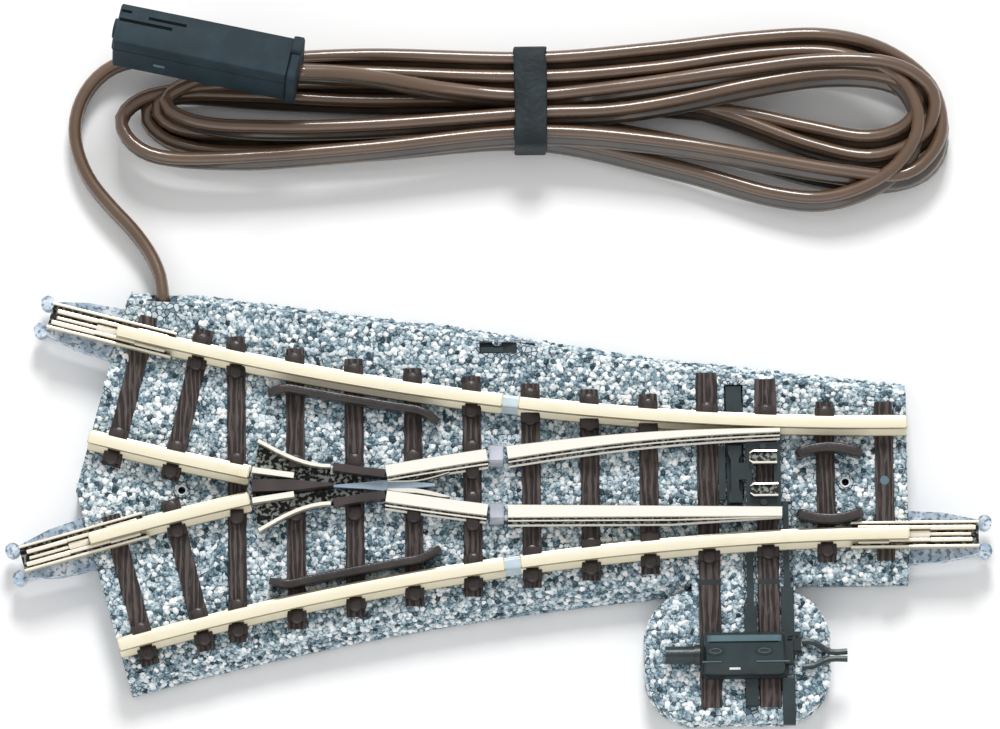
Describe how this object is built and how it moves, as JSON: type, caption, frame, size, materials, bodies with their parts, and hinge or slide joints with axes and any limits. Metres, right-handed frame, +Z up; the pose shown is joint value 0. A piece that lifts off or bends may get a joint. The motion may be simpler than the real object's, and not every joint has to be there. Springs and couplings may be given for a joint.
{
  "type": "model turnout switch",
  "caption": "Electric wye turnout for 9 mm gauge model track on a ballast roadbed, with hinged point blades, a sliding tie bar and hand lever, a dummy point machine and a hanked lead with plug.",
  "frame": {"origin": "on the underside of the roadbed, on the line of symmetry, midway between the ends of the two legs", "axes": "+X from the heel to the toe end, +Y towards the side that the drive and lead are on, +Z up from the table"},
  "size_m": [0.089, 0.0657, 0.0117],
  "materials": {
    "ballast": "moulded stone texture, matt",
    "cover_grey": "satin",
    "screw_steel": "plated",
    "sleeper_brown": "wood grain moulding, matt",
    "insulator": "translucent",
    "frog_grey": "smooth",
    "clip_plated": "smooth",
    "blade_nickel": "bright plated",
    "rail_nickel": "drawn nickel silver",
    "joiner_nickel": "bright plated",
    "contact_brass": "stamped",
    "bobbin_white": "satin",
    "copper_wire": "enamelled",
    "magnet_grey": "sintered",
    "mechanism_green": "satin moulding",
    "lead_brown": "glossy sleeve",
    "band_slate": "ribbed tape",
    "plug_slate": "satin moulding"
  },
  "bodies": {
    "root": {"roadbed": "ballast", "bottom_cover": "cover_grey", "cover_screws": "screw_steel", "sleepers": "sleeper_brown", "check_rails": "sleeper_brown", "stock_rail_toe_north": "rail_nickel", "stock_rail_toe_south": "rail_nickel", "stock_rail_heel_north": "rail_nickel", "stock_rail_heel_south": "rail_nickel", "leg_rail_north": "rail_nickel", "leg_rail_south": "rail_nickel", "gap_block_north": "insulator", "gap_block_south": "insulator", "frog_nose": "sleeper_brown", "frog_floor": "frog_grey", "wing_plate_north": "blade_nickel", "wing_plate_south": "blade_nickel", "wing_rail_north": "sleeper_brown", "wing_rail_south": "sleeper_brown", "closure_rail_north": "blade_nickel", "closure_rail_south": "blade_nickel", "heel_clip_north": "clip_plated", "heel_clip_south": "clip_plated", "heel_pins": "screw_steel", "joiner_toe": "joiner_nickel", "joiner_leg_north": "joiner_nickel", "joiner_leg_south": "joiner_nickel", "coil_bobbin": "bobbin_white", "coil_winding": "copper_wire", "pole_plates": "screw_steel", "coil_terminals": "contact_brass", "lead_anchor": "mechanism_green", "jumper_strips": "contact_brass", "arm_guide": "mechanism_green", "machine_base": "ballast", "machine_sleepers": "sleeper_brown", "machine_body": "mechanism_green", "machine_motor": "mechanism_green", "throw_rod": "mechanism_green", "detector_rod": "mechanism_green", "machine_cables": "mechanism_green", "lead_tube": "lead_brown", "lead_hank": "lead_brown", "tie_band": "band_slate", "plug_housing": "plug_slate", "plug_contacts": "contact_brass", "plug_collar": "plug_slate"},
    "slider": {"drive_slider": "bobbin_white", "drive_magnet": "magnet_grey", "hand_lever": "mechanism_green"},
    "tie": {"tie_bar": "mechanism_green", "drive_arm": "mechanism_green"},
    "blade_n": {"blade_north": "blade_nickel", "blade_tab_north": "contact_brass"},
    "blade_s": {"blade_south": "blade_nickel", "blade_tab_south": "contact_brass"}
  },
  "joints": [
    {"name": "lever_slide", "type": "slide", "parent": "root", "child": "slider", "axis": [1, 0, 0], "range_m": [0, 0.00115]},
    {"name": "tie_slide", "type": "slide", "parent": "root", "child": "tie", "axis": [0, -1, 0], "range_m": [0, 0.00115]},
    {"name": "blade_north_turn", "type": "hinge", "parent": "root", "child": "blade_n", "pos_m": [0.0354, 0.00263, 0.0041], "axis": [0, 0, -1], "range_deg": [0, 2.75]},
    {"name": "blade_south_turn", "type": "hinge", "parent": "root", "child": "blade_s", "pos_m": [0.0354, -0.00263, 0.0041], "axis": [0, 0, -1], "range_deg": [0, 2.75]}
  ],
  "couplings": [
    {"joint": "tie_slide", "follows": "lever_slide", "ratio": 1},
    {"joint": "blade_north_turn", "follows": "lever_slide", "rad_per_m": 41.648},
    {"joint": "blade_south_turn", "follows": "lever_slide", "rad_per_m": 41.648}
  ]
}
